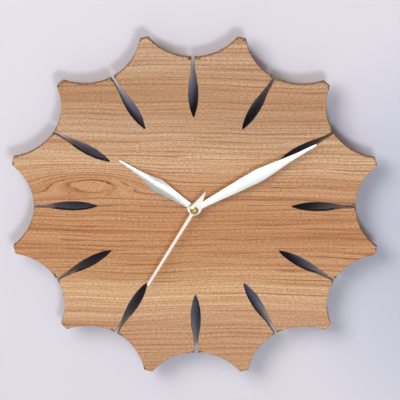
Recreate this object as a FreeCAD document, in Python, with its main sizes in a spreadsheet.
"""Wooden wall clock with a scalloped, gear-like dial, three hands and a quartz movement.

Millimetres, +Z up, the dial faces -Y. The origin is in the hanger hole, on the wall plane.
Each piece is drawn lying down: its own +Z points to the front of the clock, and its own
zero is on the wall plane or at the rear of the piece. A placement then stands it up.
"""

import FreeCAD, Part
import Sketcher
import math
import os
import re

Vector = FreeCAD.Vector
Rotation = FreeCAD.Rotation

doc = FreeCAD.newDocument("WoodenClock")

# Driving sizes
SIZES = {
    "dial board": {
        "tip_diameter": 300.0,
        "board_thickness": 4.0,
        "hour_count": 12,
        "root_radius": 128.6,
        "scallop_radius": 45.3,
        "tip_rounding": 0.8,
        "slot_inner_radius": 77.8,
        "slot_widest_radius": 97.0,
        "slot_width": 8.0,
        "slot_nose_width": 1.0,
        "kerf_width": 2.4,
        "slot_belly_share": 0.42,
        "shaft_room": 0.3,
    },
    "movement case": {
        "case_wall": 1.2,
        "case_rounding": 3.0,
        "cover_thickness": 1.2,
        "cover_lip_height": 1.0,
        "cover_lip_width": 0.9,
        "hook_reach": 4.5,
        "hook_width": 5.0,
        "hook_spacing": 20.0,
        "hook_barb": 0.7,
        "hook_barb_height": 1.8,
        "hook_room": 0.2,
        "hanger_reach": 5.2,
        "hanger_hole_diameter": 6.0,
        "hanger_thickness": 2.4,
        "hanger_rim": 2.6,
        "post_diameter": 3.0,
        "pivot_post_diameter": 2.4,
        "bridge_thickness": 1.0,
        "bridge_rounding": 2.0,
    },
    "battery and contacts": {
        "battery_diameter": 14.2,
        "battery_length": 50.0,
        "battery_nub_diameter": 5.5,
        "battery_nub_height": 1.2,
        "battery_rounding": 0.5,
        "battery_room": 0.4,
        "contact_thickness": 0.3,
        "contact_width": 6.0,
        "spring_room": 3.0,
    },
    "gear train": {
        "seconds_wheel_teeth": 60,
        "seconds_pinion_teeth": 8,
        "third_wheel_teeth": 60,
        "third_pinion_teeth": 8,
        "centre_wheel_teeth": 64,
        "fifth_wheel_teeth": 60,
        "fifth_pinion_teeth": 12,
        "rotor_pinion_teeth": 10,
        "cannon_pinion_teeth": 14,
        "minute_wheel_teeth": 42,
        "minute_pinion_teeth": 10,
        "hour_wheel_teeth": 40,
        "third_distance": 8.5,
        "third_direction": 90,
        "fifth_set_out": 0.5,
        "fifth_direction": 155,
        "rotor_distance": 7.0,
        "rotor_direction": 120,
        "setting_set_out": 0.2,
        "setting_direction": -20,
        "wheel_thickness": 0.6,
        "layer_gap": 0.6,
        "bridge_gap": 0.5,
        "tooth_slack": 0.06,
        "wheel_addendum_share": 1.0,
        "pinion_addendum_share": 0.8,
        "dedendum_share": 1.25,
        "flank_slope_share": 0.36,
        "root_flare_share": 0.6,
        "pinion_tooth_share": 0.5,
        "pinion_tip_share": 0.35,
        "pivot_diameter": 0.7,
        "pivot_depth": 0.8,
        "setting_arbor_diameter": 1.1,
        "magnet_diameter": 6.0,
        "magnet_height": 3.0,
        "running_gap": 0.05,
        "seat_gap": 0.02,
    },
    "setting knob": {
        "knob_diameter": 11.0,
        "knob_thickness": 2.4,
        "knob_recess": 0.4,
        "knob_gap": 0.4,
        "knob_grip_count": 24,
        "knob_grip_diameter": 0.8,
        "well_wall": 0.8,
        "well_floor": 1.0,
    },
    "motor and electronics": {
        "stator_thickness": 1.0,
        "stator_gap": 0.5,
        "stator_ring_width": 1.6,
        "stator_arm_width": 3.4,
        "core_thickness": 1.0,
        "core_width": 2.6,
        "core_length": 32.0,
        "coil_height": 21.6,
        "coil_shift": -6.0,
        "coil_length": 18.0,
        "coil_diameter": 6.0,
        "bobbin_wall": 0.6,
        "bobbin_flange": 0.5,
        "board_left": 14.6,
        "board_bottom": 6.5,
        "board_width": 11.0,
        "board_height": 16.0,
        "circuit_thickness": 0.8,
        "circuit_lift": 5.6,
        "crystal_diameter": 2.0,
        "crystal_length": 6.0,
        "chip_diameter": 5.0,
        "chip_height": 1.0,
    },
    "shaft and fixings": {
        "bushing_diameter": 7.8,
        "bushing_flange_diameter": 12.0,
        "bushing_flange_thickness": 1.0,
        "bushing_proud": 0.6,
        "rubber_washer_diameter": 26.0,
        "rubber_washer_thickness": 1.0,
        "metal_washer_diameter": 11.0,
        "metal_washer_thickness": 0.5,
        "nut_diameter": 12.0,
        "nut_thickness": 2.0,
        "nut_notch_count": 12,
        "nut_notch_diameter": 1.2,
        "hour_tube_diameter": 5.1,
        "cannon_diameter": 3.0,
        "seconds_arbor_diameter": 1.0,
    },
    "hands": {
        "hand_gap": 0.5,
        "hand_sheet": 0.4,
        "collet_wall": 0.65,
        "collet_rim": 0.6,
        "collet_proud": 0.2,
        "hour_hand_length": 72.5,
        "hour_hand_width": 12.0,
        "hour_hand_widest": 35.5,
        "hour_hand_neck": 50.0,
        "hour_hand_neck_width": 5.4,
        "hour_hand_root_width": 4.6,
        "hour_hand_tip_width": 1.5,
        "hour_hub_diameter": 11.0,
        "hour_collet_length": 0.8,
        "hour_hand_turn": 305.0,
        "minute_hand_length": 113.0,
        "minute_hand_width": 10.8,
        "minute_hand_widest": 60.0,
        "minute_hand_neck": 94.0,
        "minute_hand_neck_width": 3.6,
        "minute_hand_root_width": 4.4,
        "minute_hand_tip_width": 1.8,
        "minute_hub_diameter": 10.0,
        "minute_collet_length": 0.6,
        "minute_hand_turn": 60.0,
        "hand_crown": 0.7,
        "second_hand_length": 76.0,
        "second_hand_root_width": 2.6,
        "second_hand_tip_width": 1.8,
        "second_hand_sheet": 0.3,
        "second_hub_diameter": 8.8,
        "second_tail_length": 19.2,
        "second_tail_width": 7.4,
        "second_tail_base": 3.0,
        "second_hand_turn": 210.0,
        "second_pipe_wall": 0.5,
        "second_pipe_length": 0.8,
        "cap_diameter": 6.8,
        "cap_height": 1.4,
        "cap_edge": 0.4,
    },
}

sheet = doc.addObject("Spreadsheet::Sheet", "Sizes")
row = 0
for group, group_sizes in SIZES.items():
    row += 1
    sheet.set(f"A{row}", group)
    for alias, number in group_sizes.items():
        row += 1
        sheet.set(f"A{row}", alias.replace("_", " "))
        sheet.set(f"B{row}", str(number))
        sheet.setAlias(f"B{row}", alias)
doc.recompute()


def ref(expression):
    """Turn an expression in plain aliases into one that other objects can bind to."""
    return re.sub(r"\b([a-z]+(?:_[a-z]+)+)\b(?!\()", r"Sizes.\1", expression)


def value(expression):
    """Number that an expression in plain aliases has now."""
    result = sheet.evalExpression(expression)
    return float(getattr(result, "Value", result))


# Depths, measured from the wall plane to the front

CASE_DEPTH = "(battery_diameter + 2 * battery_room)"
WELL_TOP = "(knob_recess + knob_thickness + knob_gap + well_floor)"
FIFTH_WHEEL = "(case_wall + layer_gap + pivot_depth / 2)"
SECONDS_WHEEL = f"({WELL_TOP} + bridge_gap)"
THIRD_WHEEL = f"({SECONDS_WHEEL} + wheel_thickness + layer_gap)"
CANNON_REAR = f"({THIRD_WHEEL} + wheel_thickness + bridge_gap)"
CENTRE_WHEEL = f"({CANNON_REAR} + wheel_thickness + running_gap)"
BRIDGE = f"({CENTRE_WHEEL} + wheel_thickness + layer_gap)"
MINUTE_WHEEL = f"({BRIDGE} + bridge_thickness + bridge_gap)"
HOUR_WHEEL = f"({MINUTE_WHEEL} + wheel_thickness + layer_gap + running_gap)"
COVER_FRONT = f"({CASE_DEPTH} + cover_thickness)"
BOARD_REAR = f"({COVER_FRONT} + rubber_washer_thickness)"
BOARD_FRONT = f"({BOARD_REAR} + board_thickness)"
NUT_REAR = f"({BOARD_FRONT} + metal_washer_thickness)"
BUSHING_FRONT = f"({NUT_REAR} + nut_thickness + bushing_proud)"
HOUR_COLLET = f"({BUSHING_FRONT} + hand_gap)"
HOUR_HAND = f"({HOUR_COLLET} + hour_collet_length)"
HOUR_FRONT = f"({HOUR_HAND} + hand_sheet + collet_proud)"
MINUTE_COLLET = f"({HOUR_FRONT} + hand_gap)"
MINUTE_HAND = f"({MINUTE_COLLET} + minute_collet_length)"
MINUTE_FRONT = f"({MINUTE_HAND} + hand_sheet + collet_proud)"
SECOND_PIPE = f"({MINUTE_FRONT} + hand_gap)"
SECOND_HAND = f"({SECOND_PIPE} + second_pipe_length)"
CAP_REAR = f"({SECOND_HAND} + second_hand_sheet)"
STATOR = "(circuit_lift - stator_thickness)"

# Places in the plane of the dial, from the centre of the hands

FIFTH_DISTANCE = "(third_distance + fifth_set_out)"
SETTING_DISTANCE = "(third_distance + setting_set_out)"
CENTRE = ("0", "0")
THIRD = ("third_distance * cos(third_direction)", "third_distance * sin(third_direction)")
FIFTH = (f"{FIFTH_DISTANCE} * cos(fifth_direction)", f"{FIFTH_DISTANCE} * sin(fifth_direction)")
ROTOR = (f"({FIFTH[0]} + rotor_distance * cos(rotor_direction))",
         f"({FIFTH[1]} + rotor_distance * sin(rotor_direction))")
SETTING = (f"{SETTING_DISTANCE} * cos(setting_direction)",
           f"{SETTING_DISTANCE} * sin(setting_direction)")
INNER_HALF = "(battery_length / 2 + contact_thickness + spring_room / 2)"
CASE_HALF = f"({INNER_HALF} + case_wall)"
HANGER_RISE = f"({CASE_HALF} + hanger_reach)"
BAY_TOP = f"(-{INNER_HALF} + battery_diameter + 2 * battery_room)"

# Modules of the meshing pairs, from their centre distances

FIFTH_MODULE = "(2 * rotor_distance / (fifth_wheel_teeth + rotor_pinion_teeth))"
SECONDS_MODULE = f"(2 * {FIFTH_DISTANCE} / (seconds_wheel_teeth + fifth_pinion_teeth))"
THIRD_MODULE = "(2 * third_distance / (third_wheel_teeth + seconds_pinion_teeth))"
CENTRE_MODULE = "(2 * third_distance / (centre_wheel_teeth + third_pinion_teeth))"
MINUTE_MODULE = f"(2 * {SETTING_DISTANCE} / (minute_wheel_teeth + cannon_pinion_teeth))"
HOUR_MODULE = f"(2 * {SETTING_DISTANCE} / (hour_wheel_teeth + minute_pinion_teeth))"

pieces = []


def new_piece(label):
    body = doc.addObject("PartDesign::Body", label)
    body.Label = label
    pieces.append(body)
    return body


def stand(body, place=CENTRE, depth="0", turn=0.0):
    """Stand a piece up at a place in the dial's plane, turned as seen from the front."""
    upright = Rotation(Vector(1, 0, 0), 90)
    body.Placement = FreeCAD.Placement(Vector(), upright * Rotation(Vector(0, 0, 1), turn))
    body.setExpression("Placement.Base.x", ref(place[0]))
    body.setExpression("Placement.Base.y", ref(f"-({depth})"))
    body.setExpression("Placement.Base.z", ref(f"{place[1]} - {HANGER_RISE}"))


def origin_feature(body, role):
    return [feature for feature in body.Origin.OriginFeatures if feature.Role == role][0]


def new_sketch(body, name, depth="0", role="XY_Plane"):
    sketch = body.newObject("Sketcher::SketchObject", name)
    sketch.AttachmentSupport = [(origin_feature(body, role), "")]
    sketch.MapMode = "FlatFace"
    sketch.setExpression("AttachmentOffset.Base.z", ref(depth))
    return sketch


def bind(sketch, kind, *target, to):
    """Add a size constraint to a sketch and tie it to an expression."""
    index = sketch.addConstraint(Sketcher.Constraint(kind, *target, value(to)))
    sketch.setExpression(f"Constraints[{index}]", ref(to))


def draw_outline(sketch, corners):
    """Closed outline. A corner is (x, y), or (x, y, radius) where an arc leads on from it.

    A positive radius bulges to the right of the way round, a negative one to the left.
    """
    first = sketch.GeometryCount
    points = [Vector(value(corner[0]), value(corner[1]), 0) for corner in corners]
    starts = []
    for index, corner in enumerate(corners):
        start = points[index]
        end = points[(index + 1) % len(points)]
        if len(corner) == 2:
            sketch.addGeometry(Part.LineSegment(start, end))
            starts.append(1)
            continue
        radius = value(corner[2])
        along = end - start
        half = along.Length / 2
        left = Vector(-along.y, along.x, 0).normalize()
        rise = math.sqrt(max(radius ** 2 - half ** 2, 0))
        side = 1 if radius > 0 else -1
        centre = (start + end) * 0.5 + left * (rise * side)
        begin, finish = (start, end) if radius > 0 else (end, start)
        circle = Part.Circle(centre, Vector(0, 0, 1), abs(radius))
        angles = [math.atan2(p.y - centre.y, p.x - centre.x) for p in (begin, finish)]
        sketch.addGeometry(Part.ArcOfCircle(circle, *angles))
        starts.append(1 if radius > 0 else 2)
    for index, corner in enumerate(corners):
        after = (index + 1) % len(corners)
        here = first + index
        joint = (here, 3 - starts[index], first + after, starts[after])
        sketch.addConstraint(Sketcher.Constraint("Coincident", *joint))
        bind(sketch, "DistanceX", -1, 1, here, starts[index], to=corner[0])
        bind(sketch, "DistanceY", -1, 1, here, starts[index], to=corner[1])
        if len(corner) > 2:
            bind(sketch, "Radius", here, to=corner[2].lstrip("-"))


def draw_circle(sketch, diameter, place=CENTRE):
    circle = Part.Circle(Vector(value(place[0]), value(place[1]), 0), Vector(0, 0, 1),
                         value(diameter) / 2)
    index = sketch.addGeometry(circle)
    bind(sketch, "DistanceX", -1, 1, index, 3, to=place[0])
    bind(sketch, "DistanceY", -1, 1, index, 3, to=place[1])
    bind(sketch, "Radius", index, to=f"({diameter}) / 2")


def box_corners(left, right, bottom, top):
    return [(left, bottom), (right, bottom), (right, top), (left, top)]


def rounded_corners(left, right, bottom, top, radius):
    """Corners of a rectangle whose corners are rounded."""
    return [(f"{left} + {radius}", bottom), (f"{right} - {radius}", bottom, radius),
            (right, f"{bottom} + {radius}"), (right, f"{top} - {radius}", radius),
            (f"{right} - {radius}", top), (f"{left} + {radius}", top, radius),
            (left, f"{top} - {radius}"), (left, f"{bottom} + {radius}", radius)]


def pad(body, sketch, length):
    feature = body.newObject("PartDesign::Pad", f"{sketch.Name}_pad")
    feature.Profile = sketch
    feature.setExpression("Length", ref(length))
    doc.recompute()
    return feature


def pocket(body, sketch, length):
    """Cut from the sketch towards the front."""
    feature = body.newObject("PartDesign::Pocket", f"{sketch.Name}_cut")
    feature.Profile = sketch
    feature.Reversed = True
    feature.setExpression("Length", ref(length))
    doc.recompute()
    return feature


def repeat_round(body, feature, count):
    pattern = body.newObject("PartDesign::PolarPattern", f"{feature.Name}_round")
    pattern.Originals = [feature]
    pattern.Axis = (origin_feature(body, "Z_Axis"), [""])
    pattern.Angle = 360
    pattern.setExpression("Occurrences", ref(count))
    body.Tip = pattern
    doc.recompute()
    return pattern


def disc(body, name, diameter, depth, length, place=CENTRE):
    sketch = new_sketch(body, name, depth)
    draw_circle(sketch, diameter, place)
    return pad(body, sketch, length)


def hole(body, name, diameter, depth, length, place=CENTRE):
    sketch = new_sketch(body, name, depth)
    draw_circle(sketch, diameter, place)
    return pocket(body, sketch, length)


def turned(body, name, profile):
    """Turn a half section, given as (radius, depth) corners, about the piece's own axis."""
    sketch = new_sketch(body, name, "0", "XZ_Plane")
    draw_outline(sketch, profile)
    feature = body.newObject("PartDesign::Revolution", f"{name}_turn")
    feature.Profile = sketch
    feature.ReferenceAxis = (sketch, ["V_Axis"])
    feature.Angle = 360
    doc.recompute()
    return feature


# Gears


def cut_tooth_gaps(body, name, teeth, levels, depth, length):
    """Cut the gaps between teeth. Levels are (radius, half thickness of a tooth there)."""
    def side(radius, half_tooth, reach):
        angle = f"(180 / {teeth} - 180 / pi * ({half_tooth}) / ({radius}))"
        return [(f"({reach}) * cos({angle})", f"({reach}) * sin({angle})")]
    tip_radius, tip_half = levels[-1]
    corners = []
    for radius, half_tooth in levels[:-1]:
        corners += side(radius, half_tooth, radius)
    corners += side(tip_radius, tip_half, f"{tip_radius} + wheel_thickness")
    mirrored = [(x, f"-({y})") for x, y in corners]
    sketch = new_sketch(body, f"{name}_gap", depth)
    draw_outline(sketch, mirrored + corners[::-1])
    gap = pocket(body, sketch, length)
    return repeat_round(body, gap, teeth)


def wheel_teeth(body, name, teeth, module, depth, length):
    """Flat wheel with trapezoid teeth, a little thinner than half the pitch."""
    pitch_radius = f"({teeth} * {module} / 2)"
    tip_radius = f"({pitch_radius} + wheel_addendum_share * {module})"
    root_radius = f"({pitch_radius} - dedendum_share * {module})"
    half = f"(pi * {module} / 4 - tooth_slack)"
    tip_half = f"{half} - wheel_addendum_share * {module} * flank_slope_share"
    root_half = f"{half} + dedendum_share * {module} * flank_slope_share * root_flare_share"
    disc(body, f"{name}_blank", f"2 * {tip_radius}", depth, length)
    levels = [(root_radius, root_half), (tip_radius, tip_half)]
    return cut_tooth_gaps(body, name, teeth, levels, depth, length)


def pinion_teeth(body, name, teeth, module, depth, length):
    """Small pinion, with straight flanks to the pitch circle and narrowed tips."""
    pitch_radius = f"({teeth} * {module} / 2)"
    tip_radius = f"({pitch_radius} + pinion_addendum_share * {module})"
    root_radius = f"({pitch_radius} - dedendum_share * {module})"
    half = f"pinion_tooth_share * {module}"
    disc(body, f"{name}_blank", f"2 * {tip_radius}", depth, length)
    levels = [(root_radius, f"{half} * {root_radius} / {pitch_radius}"),
              (pitch_radius, half),
              (tip_radius, f"{half} * pinion_tip_share")]
    return cut_tooth_gaps(body, name, teeth, levels, depth, length)


def meshed_turn(from_place, to_place, from_teeth, from_turn, to_teeth):
    """Turn in degrees that puts a gap of the second gear over a tooth of the first."""
    run = value(f"{to_place[0]} - ({from_place[0]})")
    climb = value(f"{to_place[1]} - ({from_place[1]})")
    line = math.degrees(math.atan2(climb, run))
    half_circle = 180
    pitch = 2 * half_circle / value(to_teeth)
    from_pitch = 2 * half_circle / value(from_teeth)
    past_tooth = (line - from_turn - from_pitch / 2) / from_pitch
    return line + half_circle - pitch * (1 / 2 - past_tooth) - pitch / 2


# A gap is cut on each gear's own +X axis, so its first tooth stands half a pitch away.

FIFTH_TURN = meshed_turn(CENTRE, FIFTH, "seconds_wheel_teeth", 0, "fifth_pinion_teeth")
ROTOR_TURN = meshed_turn(FIFTH, ROTOR, "fifth_wheel_teeth", FIFTH_TURN, "rotor_pinion_teeth")
THIRD_TURN = meshed_turn(CENTRE, THIRD, "seconds_pinion_teeth", 0, "third_wheel_teeth")
CENTRE_TURN = meshed_turn(THIRD, CENTRE, "third_pinion_teeth", THIRD_TURN, "centre_wheel_teeth")
SETTING_TURN = meshed_turn(CENTRE, SETTING, "cannon_pinion_teeth", 0, "minute_wheel_teeth")
HOUR_TURN = meshed_turn(SETTING, CENTRE, "minute_pinion_teeth", SETTING_TURN, "hour_wheel_teeth")


# Dial board: a round blank with twelve scallops sawn from its rim and twelve leaf slots


def draw_hour_slot(sketch):
    """Leaf slot along +Y that narrows to a kerf and runs out through the rim."""
    half = "(slot_width / 2)"
    kerf = "(kerf_width / 2)"
    nose = "(slot_nose_width / 2)"
    rise = f"({half} - {nose})"
    back = "(slot_widest_radius - slot_inner_radius)"
    drop = f"({half} - {kerf})"
    run = "(root_radius - slot_widest_radius)"
    nose_radius = f"(({back} * {back} + {rise} * {rise}) / (2 * {rise}))"
    both_radii = f"(({run} * {run} + {drop} * {drop}) / (2 * {drop}))"
    belly = f"({both_radii} * slot_belly_share)"
    neck = f"({both_radii} * (1 - slot_belly_share))"
    bend_x = f"{half} - {drop} * slot_belly_share"
    bend_y = f"slot_widest_radius + {run} * slot_belly_share"
    out = "root_radius + scallop_radius"
    draw_outline(sketch, [
        (nose, "slot_inner_radius", nose_radius),
        (half, "slot_widest_radius", belly),
        (bend_x, bend_y, f"-{neck}"),
        (kerf, "root_radius"),
        (kerf, out),
        (f"-{kerf}", out),
        (f"-{kerf}", "root_radius", f"-{neck}"),
        (f"-({bend_x})", bend_y, belly),
        (f"-{half}", "slot_widest_radius", nose_radius),
        (f"-{nose}", "slot_inner_radius")])


def make_dial_plate():
    body = new_piece("dial_plate")
    disc(body, "blank", "tip_diameter", "0", "board_thickness")
    scallop = hole(body, "scallop", "2 * scallop_radius", "0", "board_thickness",
                   ("0", "root_radius + scallop_radius"))
    repeat_round(body, scallop, "hour_count")
    slot_sketch = new_sketch(body, "slot")
    draw_hour_slot(slot_sketch)
    slot = pocket(body, slot_sketch, "board_thickness")
    repeat_round(body, slot, "hour_count")
    holed = hole(body, "shaft_hole", "bushing_diameter + 2 * shaft_room", "0",
                 "board_thickness")
    tip_radius = value("tip_diameter / 2")
    corners = []
    for index, edge in enumerate(holed.Shape.Edges, start=1):
        reach = [Vector(v.X, v.Y, 0).Length for v in edge.Vertexes]
        upright = len(reach) == 2 and edge.Length < value("board_thickness + seat_gap")
        if upright and min(reach) > tip_radius - value("seat_gap"):
            corners.append(f"Edge{index}")
    rounding = body.newObject("PartDesign::Fillet", "tip_rounding_cut")
    rounding.Base = (holed, corners)
    rounding.setExpression("Radius", ref("tip_rounding"))
    body.Tip = rounding
    stand(body, depth=BOARD_REAR)


# Movement case: a moulded shell, open to the front, with the battery bay open to the rear


FLOOR = f"({BAY_TOP} + case_wall)"
POSTS = [(f"-{INNER_HALF} + 2 * post_diameter", f"{FLOOR} + post_diameter"),
         (f"{INNER_HALF} - 3 * post_diameter", f"{FLOOR} + post_diameter"),
         (f"-{INNER_HALF} + post_diameter", f"{FLOOR} + 8 * post_diameter"),
         ("board_left - post_diameter", "board_bottom + 2 * post_diameter")]
BOARD_POSTS = [("board_left + board_width / 2", "board_bottom + post_diameter"),
               ("board_left + board_width / 2", "board_bottom + board_height - post_diameter")]
PIVOTS = {"third": THIRD, "fifth": FIFTH, "rotor": ROTOR, "seconds": CENTRE}
PIVOT_REST = {"third": f"({WELL_TOP} - running_gap)", "fifth": f"({FIFTH_WHEEL} - running_gap)",
              "rotor": f"({FIFTH_WHEEL} - layer_gap / 2 - running_gap)",
              "seconds": f"({SECONDS_WHEEL} - running_gap)"}


# Snap hooks of the cover, two on the left and two on the right, with a window in the case for each

HOOK_SIDES = {"left": "-{}", "right": "{}"}
HOOK_MIDDLE = f"(({FLOOR} + {INNER_HALF}) / 2)"
HOOKS = [(side, row, f"({HOOK_MIDDLE} {sign} hook_spacing / 2)")
         for side in HOOK_SIDES for row, sign in (("upper", "+"), ("lower", "-"))]


def make_movement_case():
    body = new_piece("movement_case")
    half = CASE_HALF
    shell = new_sketch(body, "shell")
    draw_outline(shell, rounded_corners(f"-{half}", half, f"-{half}", half, "case_rounding"))
    pad(body, shell, CASE_DEPTH)
    tab_radius = "(hanger_hole_diameter / 2 + hanger_rim)"
    tab = new_sketch(body, "hanger_tab")
    draw_outline(tab, [(f"-{tab_radius}", f"{half} - case_wall / 2"),
                       (tab_radius, f"{half} - case_wall / 2"),
                       (tab_radius, HANGER_RISE, tab_radius),
                       ("0", f"{HANGER_RISE} + {tab_radius}", tab_radius),
                       (f"-{tab_radius}", HANGER_RISE)])
    pad(body, tab, "hanger_thickness")
    hole(body, "hanger_hole", "hanger_hole_diameter", "0", "hanger_thickness",
         ("0", HANGER_RISE))
    gear_room = new_sketch(body, "gear_room", "case_wall")
    draw_outline(gear_room, box_corners(f"-{INNER_HALF}", INNER_HALF,
                                        FLOOR, INNER_HALF))
    pocket(body, gear_room, CASE_DEPTH)
    bay = new_sketch(body, "battery_bay")
    draw_outline(bay, box_corners(f"-{INNER_HALF}", INNER_HALF, f"-{INNER_HALF}", BAY_TOP))
    pocket(body, bay, CASE_DEPTH)
    well_diameter = "(knob_diameter + 2 * knob_gap + 2 * well_wall)"
    disc(body, "knob_well", well_diameter, "case_wall / 2", f"{WELL_TOP} - case_wall / 2",
         SETTING)
    hole(body, "knob_room", "knob_diameter + 2 * knob_gap", "0", f"{WELL_TOP} - well_floor",
         SETTING)
    hole(body, "setting_hole", "setting_arbor_diameter + 2 * running_gap", "case_wall",
         WELL_TOP, SETTING)
    for number, place in enumerate(POSTS, start=1):
        disc(body, f"post_{number}", "post_diameter", "case_wall / 2",
             f"{BRIDGE} - case_wall / 2", place)
    for number, place in enumerate(BOARD_POSTS, start=1):
        disc(body, f"board_post_{number}", "post_diameter", "case_wall / 2",
             "circuit_lift - seat_gap - case_wall / 2", place)
    for name, place in PIVOTS.items():
        disc(body, f"{name}_post", "pivot_post_diameter", "case_wall / 2",
             f"{PIVOT_REST[name]} - case_wall / 2", place)
        hole(body, f"{name}_pivot_hole", "pivot_diameter + 2 * running_gap",
             f"{PIVOT_REST[name]} - pivot_depth", "pivot_depth", place)
    for side, row, height in HOOKS:
        window = new_sketch(body, f"{side}_{row}_window",
                            f"{CASE_DEPTH} - hook_reach - hook_room")
        reach = [HOOK_SIDES[side].format(x) for x in (f"({INNER_HALF} - seat_gap)",
                                                      f"({CASE_HALF} + seat_gap)")]
        draw_outline(window, box_corners(*reach, f"{height} - hook_width / 2 - hook_room",
                                         f"{height} + hook_width / 2 + hook_room"))
        pocket(body, window, "hook_barb_height + 2 * hook_room")
    stand(body)


def make_movement_cover():
    body = new_piece("movement_cover")
    half = CASE_HALF
    plate = new_sketch(body, "plate")
    draw_outline(plate, rounded_corners(f"-{half}", half, f"-{half}", half, "case_rounding"))
    draw_circle(plate, "bushing_diameter + 2 * seat_gap")
    pad(body, plate, "cover_thickness")
    lip_half = f"({INNER_HALF} - running_gap)"
    inside = f"({lip_half} - cover_lip_width)"
    bottom = f"({FLOOR} + running_gap)"
    lip = new_sketch(body, "lip", "-cover_lip_height")
    draw_outline(lip, box_corners(f"-{lip_half}", lip_half, bottom, lip_half))
    draw_outline(lip, box_corners(f"-{inside}", inside, f"{bottom} + cover_lip_width", inside))
    pad(body, lip, "cover_lip_height + cover_thickness / 2")
    barb = f"({INNER_HALF} + hook_barb)"
    for side, row, height in HOOKS:
        hook = new_sketch(body, f"{side}_{row}_hook", f"-({height} + hook_width / 2)", "XZ_Plane")
        profile = [(inside, "cover_thickness / 2"),
                   (inside, "-hook_reach"),
                   (lip_half, "-hook_reach"),
                   (barb, "hook_barb - hook_reach"),
                   (barb, "hook_barb_height - hook_reach"),
                   (lip_half, "hook_barb_height - hook_reach"),
                   (lip_half, "cover_thickness / 2")]
        draw_outline(hook, [(HOOK_SIDES[side].format(across), along)
                            for across, along in profile])
        pad(body, hook, "hook_width")
    stand(body, depth=CASE_DEPTH)


def make_gear_bridge():
    """Plate over the going train, carried on four posts, with the front pivots' holes."""
    body = new_piece("gear_bridge")
    plate = new_sketch(body, "plate")
    left = f"({POSTS[2][0]} - post_diameter / 2)"
    right = "(board_left - running_gap)"
    bottom = f"({FLOOR} + running_gap)"
    top = f"({POSTS[2][1]} + post_diameter / 2)"
    draw_outline(plate, rounded_corners(left, right, bottom, top, "bridge_rounding"))
    pad(body, plate, "bridge_thickness")
    hole(body, "cannon_hole", "cannon_diameter + 2 * running_gap", "0", "bridge_thickness")
    hole(body, "setting_hole", "setting_arbor_diameter + 2 * running_gap", "0",
         "bridge_thickness", SETTING)
    for name in ("third", "fifth", "rotor"):
        hole(body, f"{name}_pivot_hole", "pivot_diameter + 2 * running_gap", "0",
             "bridge_thickness", PIVOTS[name])
    stand(body, depth=BRIDGE)


# Battery and contacts

BAY_MIDDLE = f"(({BAY_TOP} - {INNER_HALF}) / 2)"
BATTERY_SEAT = f"({INNER_HALF} - contact_thickness - 2 * seat_gap)"


def make_battery():
    """Single cell lying across the bay, its button to the right as seen from the front."""
    body = new_piece("battery")
    radius = "(battery_diameter / 2)"
    shoulder = "(battery_length - battery_nub_height)"
    edge = "battery_rounding"
    turned(body, "cell", [
        ("0", "0"),
        (f"{radius} - {edge}", "0", edge),
        (radius, edge),
        (radius, f"{shoulder} - {edge}", edge),
        (f"{radius} - {edge}", shoulder),
        ("battery_nub_diameter / 2", shoulder),
        ("battery_nub_diameter / 2", "battery_length"),
        ("0", "battery_length")])
    body.Placement = FreeCAD.Placement(Vector(), Rotation(Vector(0, 1, 0), 90))
    body.setExpression("Placement.Base.x", ref(f"{BATTERY_SEAT} - battery_length"))
    body.setExpression("Placement.Base.y", ref("-(battery_room + battery_diameter / 2)"))
    body.setExpression("Placement.Base.z", ref(f"{BAY_MIDDLE} - {HANGER_RISE}"))


def make_contact(label, side, bulge):
    """Sprung strip at one end of the bay. Its tail folds over the bay's wall."""
    body = new_piece(label)
    outer = f"{side} * ({INNER_HALF} - seat_gap)"
    inner = f"{side} * ({INNER_HALF} - seat_gap - contact_thickness)"
    low = f"({BAY_MIDDLE} - battery_nub_diameter)"
    high = f"({BAY_TOP} - battery_room)"
    corners = [(outer, low), (outer, high), (inner, high)]
    if bulge:
        peak = f"{side} * ({INNER_HALF} - seat_gap - {bulge})"
        peak_out = f"{side} * ({INNER_HALF} - seat_gap - {bulge} + contact_thickness)"
        shoulder = "(battery_nub_diameter / 2)"
        corners = [(outer, f"{low} - contact_thickness"), (outer, low),
                   (peak_out, BAY_MIDDLE), (outer, f"{BAY_MIDDLE} + {shoulder}"),
                   (outer, high), (inner, high),
                   (inner, f"{BAY_MIDDLE} + {shoulder}"), (peak, BAY_MIDDLE)]
        corners += [(inner, low), (inner, f"{low} - contact_thickness")]
    else:
        corners += [(inner, low)]
    strip = new_sketch(body, "strip")
    draw_outline(strip, corners)
    pad(body, strip, "contact_width")
    stand(body, depth="battery_room + battery_diameter / 2 - contact_width / 2")


# Going train


def make_seconds_wheel():
    body = new_piece("seconds_wheel")
    wheel_teeth(body, "wheel", "seconds_wheel_teeth", SECONDS_MODULE, "0", "wheel_thickness")
    pinion_teeth(body, "pinion", "seconds_pinion_teeth", THIRD_MODULE, "wheel_thickness",
                 f"{CANNON_REAR} - running_gap - {SECONDS_WHEEL} - wheel_thickness")
    hole(body, "bore", "seconds_arbor_diameter + 2 * seat_gap", "0", CANNON_REAR)
    stand(body, depth=SECONDS_WHEEL)


def make_seconds_arbor():
    body = new_piece("seconds_arbor")
    radius = "(seconds_arbor_diameter / 2)"
    pivot = "(pivot_diameter / 2)"
    tail = f"({PIVOT_REST['seconds']} - pivot_depth + running_gap)"
    turned(body, "arbor", [
        ("0", tail),
        (pivot, tail),
        (pivot, f"{PIVOT_REST['seconds']} + running_gap"),
        (radius, f"{PIVOT_REST['seconds']} + running_gap"),
        (radius, CAP_REAR),
        ("0", CAP_REAR)])
    stand(body)


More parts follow.
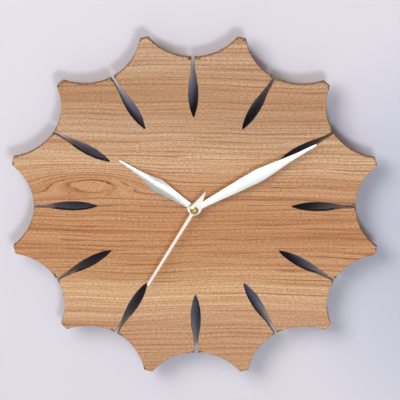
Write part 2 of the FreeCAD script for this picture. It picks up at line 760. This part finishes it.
def make_train_wheel(label, place, turn, wheel, pinion, wheel_rear, pinion_front, rest):
    """Wheel moulded with a pinion and a thin arbor that turns in the case and the bridge."""
    body = new_piece(label)
    wheel_teeth(body, "wheel", *wheel, wheel_rear, "wheel_thickness")
    pinion_rear = f"({wheel_rear} + wheel_thickness)"
    pinion_teeth(body, "pinion", *pinion, pinion_rear, f"{pinion_front} - {pinion_rear}")
    pivot_arbor(body, rest)
    stand(body, place, turn=turn)


def pivot_arbor(body, rest):
    rear = f"({rest} - pivot_depth + running_gap)"
    front = f"({BRIDGE} + bridge_thickness)"
    disc(body, "arbor", "pivot_diameter", rear, f"{front} - {rear}")


def make_rotor():
    pinion = new_piece("rotor_pinion")
    rear = f"({FIFTH_WHEEL} - layer_gap / 2)"
    front = f"({FIFTH_WHEEL} + wheel_thickness + layer_gap / 2)"
    pinion_teeth(pinion, "pinion", "rotor_pinion_teeth", FIFTH_MODULE, rear,
                 f"{front} - {rear}")
    pivot_arbor(pinion, PIVOT_REST["rotor"])
    stand(pinion, ROTOR, turn=ROTOR_TURN)
    magnet = new_piece("rotor_magnet")
    inner = "(pivot_diameter / 2 + seat_gap)"
    base = f"({front} + seat_gap)"
    turned(magnet, "ring", [
        (inner, base),
        ("magnet_diameter / 2", base),
        ("magnet_diameter / 2", f"{base} + magnet_height"),
        (inner, f"{base} + magnet_height")])
    stand(magnet, ROTOR)


def make_centre_wheel():
    """Wheel gripped by the cannon's collar, slipping there when the time is set."""
    body = new_piece("centre_wheel")
    wheel_teeth(body, "wheel", "centre_wheel_teeth", CENTRE_MODULE, "0", "wheel_thickness")
    hole(body, "bore", "cannon_diameter + 2 * running_gap", "0", "wheel_thickness")
    stand(body, depth=CENTRE_WHEEL, turn=CENTRE_TURN)


# Motion work


def make_minute_cannon():
    """Tube that carries the minute hand, with the cannon pinion and the clutch's collar."""
    body = new_piece("minute_cannon")
    tube = "(cannon_diameter / 2)"
    bore = "(seconds_arbor_diameter / 2 + running_gap)"
    turned(body, "tube", [
        (bore, CANNON_REAR),
        (f"2 * {bore} + {tube}", CANNON_REAR),
        (f"2 * {bore} + {tube}", f"{CANNON_REAR} + wheel_thickness"),
        (tube, f"{CANNON_REAR} + wheel_thickness"),
        (tube, MINUTE_FRONT),
        (bore, MINUTE_FRONT)])
    rear = f"({BRIDGE} + bridge_thickness + running_gap)"
    front = f"({MINUTE_WHEEL} + wheel_thickness + layer_gap / 3)"
    pinion_teeth(body, "pinion", "cannon_pinion_teeth", MINUTE_MODULE, rear,
                 f"{front} - {rear}")
    hole(body, "bore_through", f"2 * {bore}", rear, MINUTE_FRONT)
    stand(body)


def make_minute_wheel():
    body = new_piece("minute_wheel")
    wheel_teeth(body, "wheel", "minute_wheel_teeth", MINUTE_MODULE, MINUTE_WHEEL,
                "wheel_thickness")
    pinion_rear = f"({MINUTE_WHEEL} + wheel_thickness)"
    front = f"({HOUR_WHEEL} + wheel_thickness + layer_gap / 2)"
    pinion_teeth(body, "pinion", "minute_pinion_teeth", HOUR_MODULE, pinion_rear,
                 f"{front} - {pinion_rear}")
    hole(body, "bore", "setting_arbor_diameter + 2 * seat_gap", MINUTE_WHEEL, HOUR_WHEEL)
    stand(body, SETTING, turn=SETTING_TURN)


def make_set_knob():
    """Grooved knob at the rear, on the arbor of the minute wheel."""
    body = new_piece("set_knob")
    disc(body, "knob", "knob_diameter", "knob_recess", "knob_thickness")
    groove = hole(body, "grip", "knob_grip_diameter", "knob_recess", "knob_thickness",
                  ("knob_diameter / 2", "0"))
    repeat_round(body, groove, "knob_grip_count")
    front = f"({HOUR_WHEEL} + wheel_thickness + layer_gap / 2)"
    disc(body, "arbor", "setting_arbor_diameter", "knob_recess", f"{front} - knob_recess")
    stand(body, SETTING)


def make_hour_wheel():
    """Wheel and tube in one, turning on the cannon inside the threaded bushing."""
    body = new_piece("hour_wheel")
    wheel_teeth(body, "wheel", "hour_wheel_teeth", HOUR_MODULE, HOUR_WHEEL, "wheel_thickness")
    disc(body, "tube", "hour_tube_diameter", HOUR_WHEEL, f"{HOUR_FRONT} - {HOUR_WHEEL}")
    hole(body, "bore", "cannon_diameter + 2 * running_gap", HOUR_WHEEL, HOUR_FRONT)
    stand(body, turn=HOUR_TURN)


# Motor and electronics


def make_stator():
    """Soft iron plate round the rotor, with two arms that rise to the ends of the coil."""
    body = new_piece("stator")
    ring = "(magnet_diameter / 2 + stator_gap + stator_ring_width)"
    disc(body, "ring", f"2 * {ring}", STATOR, "stator_thickness", ROTOR)
    coil_left = "(coil_shift - core_length / 2)"
    coil_right = "(coil_shift + core_length / 2)"
    low = f"({ROTOR[1]} - stator_arm_width / 2)"
    high = f"({ROTOR[1]} + stator_arm_width / 2)"
    top = "(coil_height + core_width / 2)"
    under = "(coil_height - coil_diameter / 2 - bobbin_flange - stator_gap)"
    left_arm = new_sketch(body, "left_arm", STATOR)
    draw_outline(left_arm, [(ROTOR[0], low), (ROTOR[0], high),
                            (f"{coil_left} + stator_arm_width", f"{high} + core_width"),
                            (f"{coil_left} + stator_arm_width", top),
                            (coil_left, top), (coil_left, f"{low} + core_width")])
    pad(body, left_arm, "stator_thickness")
    right_arm = new_sketch(body, "right_arm", STATOR)
    draw_outline(right_arm, [(ROTOR[0], low), (f"{ROTOR[0]} + {ring} / 2", low),
                             (coil_right, f"{under} - stator_arm_width"),
                             (coil_right, top),
                             (f"{coil_right} - stator_arm_width", top),
                             (f"{coil_right} - stator_arm_width", under),
                             (ROTOR[0], high)])
    pad(body, right_arm, "stator_thickness")
    hole(body, "rotor_hole", "magnet_diameter + 2 * stator_gap", STATOR, "stator_thickness",
         ROTOR)
    stand(body)


def make_coil():
    """Bar of soft iron, a bobbin on it and the winding on the bobbin."""
    core = new_piece("coil_core")
    bar = new_sketch(core, "bar", f"{STATOR} + stator_thickness")
    draw_outline(bar, box_corners("coil_shift - core_length / 2", "coil_shift + core_length / 2",
                                  "coil_height - core_width / 2",
                                  "coil_height + core_width / 2"))
    pad(core, bar, "core_thickness")
    stand(core)
    middle = f"({STATOR} + stator_thickness + core_thickness / 2)"
    barrel = "(core_width + 2 * bobbin_wall)"
    bobbin = new_piece("coil_bobbin")
    turned(bobbin, "spool", [
        ("0", "0"),
        ("coil_diameter / 2 + bobbin_flange", "0"),
        ("coil_diameter / 2 + bobbin_flange", "bobbin_wall"),
        (f"{barrel} / 2", "bobbin_wall"),
        (f"{barrel} / 2", "coil_length - bobbin_wall"),
        ("coil_diameter / 2 + bobbin_flange", "coil_length - bobbin_wall"),
        ("coil_diameter / 2 + bobbin_flange", "coil_length"),
        ("0", "coil_length")])
    slot = new_sketch(bobbin, "core_slot")
    draw_outline(slot, box_corners("-(core_thickness / 2 + seat_gap)",
                                   "core_thickness / 2 + seat_gap",
                                   "-(core_width / 2 + seat_gap)", "core_width / 2 + seat_gap"))
    pocket(bobbin, slot, "coil_length")
    winding = new_piece("coil_winding")
    turned(winding, "winding", [
        (f"{barrel} / 2 + seat_gap", "bobbin_wall + seat_gap"),
        ("coil_diameter / 2", "bobbin_wall + seat_gap"),
        ("coil_diameter / 2", "coil_length - bobbin_wall - seat_gap"),
        (f"{barrel} / 2 + seat_gap", "coil_length - bobbin_wall - seat_gap")])
    for body in (bobbin, winding):
        lying = Rotation(Vector(0, 1, 0), 90) * Rotation(Vector(0, 0, 1), 90)
        body.Placement = FreeCAD.Placement(Vector(), lying)
        body.setExpression("Placement.Base.x", ref("coil_shift - coil_length / 2"))
        body.setExpression("Placement.Base.y", ref(f"-{middle}"))
        body.setExpression("Placement.Base.z", ref(f"coil_height - {HANGER_RISE}"))


def make_electronics():
    board = new_piece("circuit_board")
    plate = new_sketch(board, "plate", "circuit_lift")
    draw_outline(plate, box_corners("board_left", "board_left + board_width", "board_bottom",
                                    "board_bottom + board_height"))
    pad(board, plate, "circuit_thickness")
    stand(board)
    chip = new_piece("clock_chip")
    chip_radius = "(chip_diameter / 2)"
    top = f"(({chip_radius} * {chip_radius} + chip_height * chip_height) / (2 * chip_height))"
    turned(chip, "blob", [("0", "0"), (chip_radius, "0", top), ("0", "chip_height")])
    stand(chip, ("board_left + board_width / 2", "board_bottom + chip_diameter"),
          "circuit_lift + circuit_thickness")
    crystal = new_piece("quartz_crystal")
    turned(crystal, "can", [
        ("0", "0"),
        ("crystal_diameter / 2", "0"),
        ("crystal_diameter / 2", "crystal_length"),
        ("0", "crystal_length")])
    crystal.Placement = FreeCAD.Placement(Vector(), Rotation(Vector(0, 1, 0), 90))
    crystal.setExpression("Placement.Base.x",
                          ref("board_left + board_width / 2 - crystal_length / 2"))
    crystal.setExpression("Placement.Base.y",
                          ref("-(circuit_lift + circuit_thickness + crystal_diameter / 2"
                              " + seat_gap)"))
    crystal.setExpression("Placement.Base.z",
                          ref("board_bottom + board_height - 2 * crystal_diameter"
                              f" - {HANGER_RISE}"))


# Shaft and fixings


def make_ring(label, outer, inner, depth, length):
    body = new_piece(label)
    turned(body, "ring", [
        (f"({inner}) / 2", "0"),
        (f"{outer} / 2", "0"),
        (f"{outer} / 2", length),
        (f"({inner}) / 2", length)])
    stand(body, depth=depth)
    return body


def make_bushing():
    """Threaded tube held by its flange inside the cover. Board and nut go over it."""
    body = new_piece("threaded_bushing")
    bore = "(hour_tube_diameter / 2 + running_gap)"
    radius = "(bushing_diameter / 2)"
    flange_rear = f"({CASE_DEPTH} - bushing_flange_thickness)"
    turned(body, "tube", [
        (bore, flange_rear),
        ("bushing_flange_diameter / 2", flange_rear),
        ("bushing_flange_diameter / 2", CASE_DEPTH),
        (radius, CASE_DEPTH),
        (radius, BUSHING_FRONT),
        (bore, BUSHING_FRONT)])
    stand(body)


def make_fixing_nut():
    body = make_ring("fixing_nut", "nut_diameter", "bushing_diameter + 2 * seat_gap",
                     NUT_REAR, "nut_thickness")
    notch = hole(body, "notch", "nut_notch_diameter", "0", "nut_thickness",
                 ("nut_diameter / 2", "0"))
    repeat_round(body, notch, "nut_notch_count")


# Hands: thin stamped sheet with a shallow ridge, each on a turned collet


def hand_section(body, name, distance, width, crown):
    """Cross-section of a hand's blade at a distance from the centre, arched over its width."""
    sketch = new_sketch(body, name, f"-({distance})", "XZ_Plane")
    half = f"({width} / 2)"
    arch_radius = f"({half} ^ 2 + {crown} ^ 2) / (2 * {crown})"
    draw_outline(sketch, [
        (f"-{half}", "0"),
        (half, "0"),
        (half, "hand_sheet", arch_radius),
        (f"-{half}", "hand_sheet")])
    return sketch


def make_bladed_hand(name, depth, hole_diameter):
    """Hour or minute hand: a lozenge blade that runs out in a slim tip, with a round hub."""
    body = new_piece(f"{name}_hand")
    flat = "seat_gap"
    root = hand_section(body, "root", f"{name}_hub_diameter / 4", f"{name}_hand_root_width",
                        flat)
    widest = hand_section(body, "widest", f"{name}_hand_widest", f"{name}_hand_width",
                          "hand_crown")
    neck_crown = f"(hand_crown * {name}_hand_neck_width / {name}_hand_width)"
    neck = hand_section(body, "neck", f"{name}_hand_neck", f"{name}_hand_neck_width", neck_crown)
    tip = hand_section(body, "tip", f"{name}_hand_length", f"{name}_hand_tip_width", flat)
    blade = body.newObject("PartDesign::AdditiveLoft", "blade")
    blade.Profile = root
    blade.Sections = [widest, neck, tip]
    blade.Ruled = True
    doc.recompute()
    disc(body, "hub", f"{name}_hub_diameter", "0", "hand_sheet")
    hole(body, "collet_hole", hole_diameter, "0", "hand_sheet + hand_crown")
    stand(body, depth=depth, turn=-value(f"{name}_hand_turn"))


def make_collet(name, shaft_diameter, depth):
    """Collet riveted in the hub. Its rim backs the sheet and its bore grips the shaft."""
    body = new_piece(f"{name}_hand_collet")
    bore = f"({shaft_diameter} / 2 + seat_gap)"
    neck = f"({bore} + collet_wall)"
    rim = f"({neck} + collet_rim)"
    length = f"({name}_collet_length + hand_sheet + collet_proud)"
    turned(body, "collet", [
        (bore, "0"),
        (rim, "0"),
        (rim, f"{name}_collet_length"),
        (neck, f"{name}_collet_length"),
        (neck, length),
        (bore, length)])
    stand(body, depth=depth)


def collet_hole(shaft_diameter):
    return f"{shaft_diameter} + 2 * (collet_wall + 2 * seat_gap)"


def make_second_hand():
    body = new_piece("second_hand")
    root = "(second_hand_root_width / 2)"
    tip = "(second_hand_tip_width / 2)"
    bar = new_sketch(body, "bar")
    draw_outline(bar, [
        (f"-{root}", "0"),
        (root, "0"),
        (tip, "second_hand_length"),
        (f"-{tip}", "second_hand_length")])
    pad(body, bar, "second_hand_sheet")
    tail = new_sketch(body, "tail")
    draw_outline(tail, [
        ("-second_tail_width / 2", "-second_tail_base"),
        ("seat_gap", "-second_tail_length"),
        ("second_tail_width / 2", "-second_tail_base")])
    pad(body, tail, "second_hand_sheet")
    disc(body, "hub", "second_hub_diameter", "0", "second_hand_sheet")
    hole(body, "pipe_hole",
         "seconds_arbor_diameter + 2 * second_pipe_wall + 4 * seat_gap", "0",
         "second_hand_sheet")
    stand(body, depth=SECOND_HAND, turn=-value("second_hand_turn"))


def make_second_cap():
    """Pipe that grips the seconds arbor, closed by a domed head on the front."""
    body = new_piece("second_hand_cap")
    bore = "(seconds_arbor_diameter / 2 + seat_gap)"
    pipe = f"({bore} + second_pipe_wall)"
    head = "(cap_diameter / 2)"
    rise = "(cap_height - cap_edge)"
    dome = f"(({head} * {head} + {rise} * {rise}) / (2 * {rise}))"
    seat = "(second_pipe_length + second_hand_sheet + seat_gap)"
    turned(body, "cap", [
        (bore, "0"),
        (pipe, "0"),
        (pipe, seat),
        (head, seat),
        (head, f"{seat} + cap_edge", dome),
        ("0", f"{seat} + cap_height"),
        ("0", f"{seat} + seat_gap"),
        (bore, f"{seat} + seat_gap")])
    stand(body, depth=SECOND_PIPE)


make_dial_plate()
make_movement_case()
make_movement_cover()
make_gear_bridge()
make_battery()
make_contact("positive_contact", "1", "")
make_contact("negative_contact", "-1", "(contact_thickness + spring_room - 4 * seat_gap)")
make_seconds_wheel()
make_seconds_arbor()
make_train_wheel("third_wheel", THIRD, THIRD_TURN,
                 ("third_wheel_teeth", THIRD_MODULE), ("third_pinion_teeth", CENTRE_MODULE),
                 THIRD_WHEEL, f"({BRIDGE} - layer_gap / 2)", PIVOT_REST["third"])
make_train_wheel("fifth_wheel", FIFTH, FIFTH_TURN,
                 ("fifth_wheel_teeth", FIFTH_MODULE), ("fifth_pinion_teeth", SECONDS_MODULE),
                 FIFTH_WHEEL, f"({SECONDS_WHEEL} + wheel_thickness + layer_gap / 2)",
                 PIVOT_REST["fifth"])
make_rotor()
make_centre_wheel()
make_minute_cannon()
make_minute_wheel()
make_set_knob()
make_hour_wheel()
make_stator()
make_coil()
make_electronics()
make_bushing()
make_ring("rubber_washer", "rubber_washer_diameter", "bushing_diameter + 2 * seat_gap",
          COVER_FRONT, "rubber_washer_thickness")
make_ring("metal_washer", "metal_washer_diameter", "bushing_diameter + 2 * seat_gap",
          BOARD_FRONT, "metal_washer_thickness")
make_fixing_nut()
make_bladed_hand("hour", HOUR_HAND, collet_hole("hour_tube_diameter"))
make_collet("hour", "hour_tube_diameter", HOUR_COLLET)
make_bladed_hand("minute", MINUTE_HAND, collet_hole("cannon_diameter"))
make_collet("minute", "cannon_diameter", MINUTE_COLLET)
make_second_hand()
make_second_cap()
doc.recompute()

faults = [item.Label for item in doc.Objects if {"Invalid", "Error"} & set(item.State)]
if faults:
    raise RuntimeError(f"features that failed: {faults}")
for piece in pieces:
    if piece.Shape.isNull() or not piece.Shape.isValid() or not piece.Shape.Solids:
        raise RuntimeError(f"piece without a sound solid: {piece.Label}")

os.makedirs("parts", exist_ok=True)
for piece in pieces:
    piece.Shape.exportStep(f"parts/{piece.Label}.step")
    box = piece.Shape.BoundBox
    print(f"{piece.Label}: {len(piece.Shape.Solids)} solid, {piece.Shape.Volume:.2f} mm3, "
          f"front {-box.YMin:.2f}, rear {-box.YMax:.2f}")
